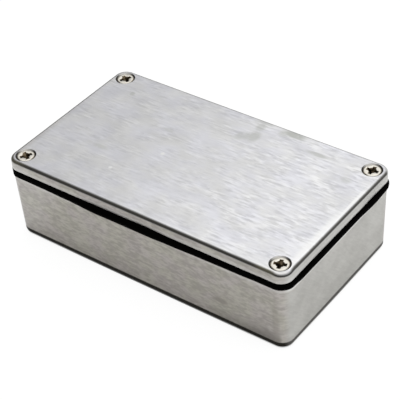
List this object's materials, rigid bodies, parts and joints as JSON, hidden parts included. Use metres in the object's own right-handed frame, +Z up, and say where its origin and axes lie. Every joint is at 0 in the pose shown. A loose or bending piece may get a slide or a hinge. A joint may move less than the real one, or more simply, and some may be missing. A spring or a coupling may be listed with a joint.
{
  "type": "die-cast aluminium enclosure",
  "caption": "Rectangular die-cast aluminium enclosure for electronics: tub-shaped base, flat lid on a black rubber gasket, held by countersunk cross-slot screws in its corners.",
  "frame": {"origin": "middle of the underside of the base, on the surface that the box stands on", "axes": "+X along the length, +Y across the width towards the back, +Z up through the lid"},
  "size_m": [0.1162, 0.0674, 0.0326],
  "materials": {
    "base_casting": "die-cast aluminium, linished, satin with a faint mottle",
    "gasket_rubber": "matte black rubber",
    "lid_casting": "die-cast aluminium, brushed along the length, with faint stains",
    "screw_plating": "bright plated steel"
  },
  "bodies": {
    "base": {"base": "base_casting"},
    "lid": {"lid": "lid_casting", "gasket": "gasket_rubber"},
    "screw_front_left": {"screw_front_left": "screw_plating"},
    "screw_front_right": {"screw_front_right": "screw_plating"},
    "screw_back_left": {"screw_back_left": "screw_plating"},
    "screw_back_right": {"screw_back_right": "screw_plating"}
  },
  "joints": [
    {"name": "lid_lift", "type": "slide", "parent": "base", "child": "lid", "axis": [0, 0, 1], "range_m": [0, 0.05]},
    {"name": "screw_front_left_out", "type": "slide", "parent": "lid", "child": "screw_front_left", "axis": [0, 0, 1], "range_m": [0, 0.016]},
    {"name": "screw_front_right_out", "type": "slide", "parent": "lid", "child": "screw_front_right", "axis": [0, 0, 1], "range_m": [0, 0.016]},
    {"name": "screw_back_left_out", "type": "slide", "parent": "lid", "child": "screw_back_left", "axis": [0, 0, 1], "range_m": [0, 0.016]},
    {"name": "screw_back_right_out", "type": "slide", "parent": "lid", "child": "screw_back_right", "axis": [0, 0, 1], "range_m": [0, 0.016]}
  ]
}
